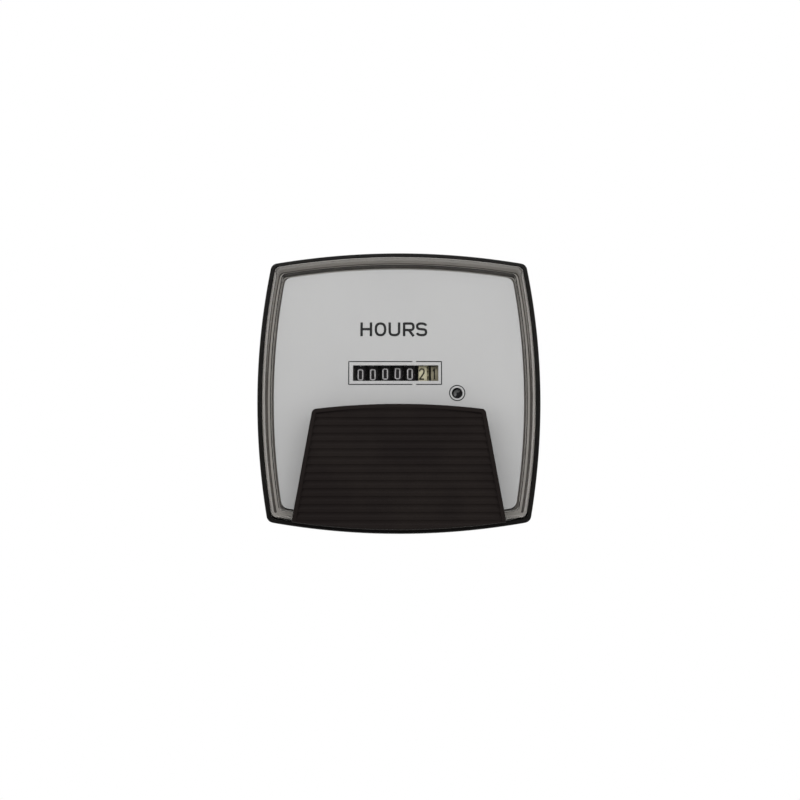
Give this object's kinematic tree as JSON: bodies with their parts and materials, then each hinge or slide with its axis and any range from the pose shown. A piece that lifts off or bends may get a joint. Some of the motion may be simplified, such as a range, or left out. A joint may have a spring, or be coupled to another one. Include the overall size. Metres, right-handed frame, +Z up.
{
  "type": "hour meter",
  "caption": "Square panel hour meter with bowed sides, a clear cover over a grey dial with a number counter and a running mark, and a black ribbed lower cover.",
  "frame": {"origin": "on the meter's axis, in the plane of the panel that the back of its rim lies on", "axes": "-Y towards the viewer, out of the dial; +X to the viewer's right; +Z up"},
  "size_m": [0.088, 0.0671, 0.088],
  "materials": {
    "black_plastic": "moulded black plastic, satin",
    "clear_plastic": "clear moulded plastic, polished",
    "grey_paint": "matt light grey paint",
    "cream_plastic": "moulded cream plastic",
    "white_plastic": "moulded white plastic",
    "steel": "bright plated steel",
    "brass": "turned brass",
    "magnet_grey": "sintered magnet, dull",
    "copper_wire": "enamelled copper wire",
    "board_green": "green lacquered board",
    "red_insulation": "red wire insulation"
  },
  "bodies": {
    "case": {"base_housing": "black_plastic", "lower_cover": "black_plastic", "capacitor": "black_plastic", "control_chip": "black_plastic", "clear_cover": "clear_plastic", "dial_plate": "grey_paint", "coil_bobbin": "white_plastic", "dial_screw_left": "steel", "dial_screw_right": "steel", "movement_frame": "steel", "movement_screw_left": "steel", "movement_screw_right": "steel", "movement_screw_top": "steel", "wheel_shaft": "steel", "pinion_shaft": "steel", "stator_plate": "steel", "coil_core": "steel", "motor_screw_left": "steel", "motor_screw_right": "steel", "quartz_crystal": "steel", "terminal_washer_left": "steel", "terminal_washer_right": "steel", "mounting_stud_upper_left": "steel", "mounting_stud_upper_right": "steel", "mounting_stud_lower_left": "steel", "mounting_stud_lower_right": "steel", "mounting_nut_upper_left": "steel", "mounting_nut_upper_right": "steel", "mounting_nut_lower_left": "steel", "mounting_nut_lower_right": "steel", "front_bridge": "brass", "bridge_pillar_left": "brass", "bridge_pillar_right": "brass", "terminal_stud_left": "brass", "terminal_stud_right": "brass", "terminal_nut_left": "brass", "terminal_nut_right": "brass", "coil_winding": "copper_wire", "circuit_board": "board_green", "coil_lead_left": "red_insulation", "coil_lead_right": "red_insulation"},
    "number_wheel_10000_hours": {"wheel_10000_hours": "black_plastic"},
    "number_wheel_1000_hours": {"wheel_1000_hours": "black_plastic"},
    "number_wheel_100_hours": {"wheel_100_hours": "black_plastic"},
    "number_wheel_10_hours": {"wheel_10_hours": "black_plastic"},
    "number_wheel_1_hours": {"wheel_1_hours": "black_plastic"},
    "number_wheel_tenths": {"wheel_tenths": "cream_plastic"},
    "number_wheel_hundredths": {"wheel_hundredths": "cream_plastic", "drive_gear": "white_plastic"},
    "pinion_1": {"transfer_pinion_1": "white_plastic"},
    "pinion_2": {"transfer_pinion_2": "white_plastic"},
    "pinion_3": {"transfer_pinion_3": "white_plastic"},
    "pinion_4": {"transfer_pinion_4": "white_plastic"},
    "pinion_5": {"transfer_pinion_5": "white_plastic"},
    "pinion_6": {"transfer_pinion_6": "white_plastic"},
    "arbor": {"worm_arbor": "steel", "arbor_gear": "white_plastic", "running_disc": "black_plastic"},
    "motor_rotor": {"rotor": "magnet_grey"}
  },
  "joints": [
    {"name": "arbor_turn", "type": "hinge", "parent": "case", "child": "arbor", "pos_m": [0.01842, 0.0025, -0.0005], "axis": [0, -1, 0], "continuous": true},
    {"name": "rotor_turn", "type": "hinge", "parent": "case", "child": "motor_rotor", "pos_m": [0.01447, 0.0127, -0.00614], "axis": [0, -1, 0], "continuous": true},
    {"name": "wheel_10000_hours_turn", "type": "hinge", "parent": "case", "child": "number_wheel_10000_hours", "pos_m": [-0.01192, 0.0025, 0.006], "axis": [1, 0, 0], "continuous": true},
    {"name": "wheel_1000_hours_turn", "type": "hinge", "parent": "case", "child": "number_wheel_1000_hours", "pos_m": [-0.00804, 0.0025, 0.006], "axis": [1, 0, 0], "continuous": true},
    {"name": "wheel_100_hours_turn", "type": "hinge", "parent": "case", "child": "number_wheel_100_hours", "pos_m": [-0.00416, 0.0025, 0.006], "axis": [1, 0, 0], "continuous": true},
    {"name": "wheel_10_hours_turn", "type": "hinge", "parent": "case", "child": "number_wheel_10_hours", "pos_m": [-0.00028, 0.0025, 0.006], "axis": [1, 0, 0], "continuous": true},
    {"name": "wheel_1_hours_turn", "type": "hinge", "parent": "case", "child": "number_wheel_1_hours", "pos_m": [0.0036, 0.0025, 0.006], "axis": [1, 0, 0], "continuous": true},
    {"name": "wheel_tenths_turn", "type": "hinge", "parent": "case", "child": "number_wheel_tenths", "pos_m": [0.00748, 0.0025, 0.006], "axis": [1, 0, 0], "continuous": true},
    {"name": "wheel_hundredths_turn", "type": "hinge", "parent": "case", "child": "number_wheel_hundredths", "pos_m": [0.01136, 0.0025, 0.006], "axis": [1, 0, 0], "continuous": true},
    {"name": "transfer_pinion_1_turn", "type": "hinge", "parent": "case", "child": "pinion_1", "pos_m": [-0.00998, 0.0104, 0.006], "axis": [1, 0, 0], "continuous": true},
    {"name": "transfer_pinion_2_turn", "type": "hinge", "parent": "case", "child": "pinion_2", "pos_m": [-0.0061, 0.0104, 0.006], "axis": [1, 0, 0], "continuous": true},
    {"name": "transfer_pinion_3_turn", "type": "hinge", "parent": "case", "child": "pinion_3", "pos_m": [-0.00222, 0.0104, 0.006], "axis": [1, 0, 0], "continuous": true},
    {"name": "transfer_pinion_4_turn", "type": "hinge", "parent": "case", "child": "pinion_4", "pos_m": [0.00166, 0.0104, 0.006], "axis": [1, 0, 0], "continuous": true},
    {"name": "transfer_pinion_5_turn", "type": "hinge", "parent": "case", "child": "pinion_5", "pos_m": [0.00554, 0.0104, 0.006], "axis": [1, 0, 0], "continuous": true},
    {"name": "transfer_pinion_6_turn", "type": "hinge", "parent": "case", "child": "pinion_6", "pos_m": [0.00942, 0.0104, 0.006], "axis": [1, 0, 0], "continuous": true}
  ],
  "couplings": [
    {"joint": "rotor_turn", "follows": "arbor_turn", "ratio": -3},
    {"joint": "wheel_10000_hours_turn", "follows": "arbor_turn", "ratio": 0.00000005},
    {"joint": "wheel_1000_hours_turn", "follows": "arbor_turn", "ratio": 0.0000005},
    {"joint": "wheel_100_hours_turn", "follows": "arbor_turn", "ratio": 0.000005},
    {"joint": "wheel_10_hours_turn", "follows": "arbor_turn", "ratio": 0.00005},
    {"joint": "wheel_1_hours_turn", "follows": "arbor_turn", "ratio": 0.0005},
    {"joint": "wheel_tenths_turn", "follows": "arbor_turn", "ratio": 0.005},
    {"joint": "wheel_hundredths_turn", "follows": "arbor_turn", "ratio": 0.05},
    {"joint": "transfer_pinion_1_turn", "follows": "arbor_turn", "ratio": -0.000000125},
    {"joint": "transfer_pinion_2_turn", "follows": "arbor_turn", "ratio": -0.00000125},
    {"joint": "transfer_pinion_3_turn", "follows": "arbor_turn", "ratio": -0.0000125},
    {"joint": "transfer_pinion_4_turn", "follows": "arbor_turn", "ratio": -0.000125},
    {"joint": "transfer_pinion_5_turn", "follows": "arbor_turn", "ratio": -0.00125},
    {"joint": "transfer_pinion_6_turn", "follows": "arbor_turn", "ratio": -0.0125}
  ]
}
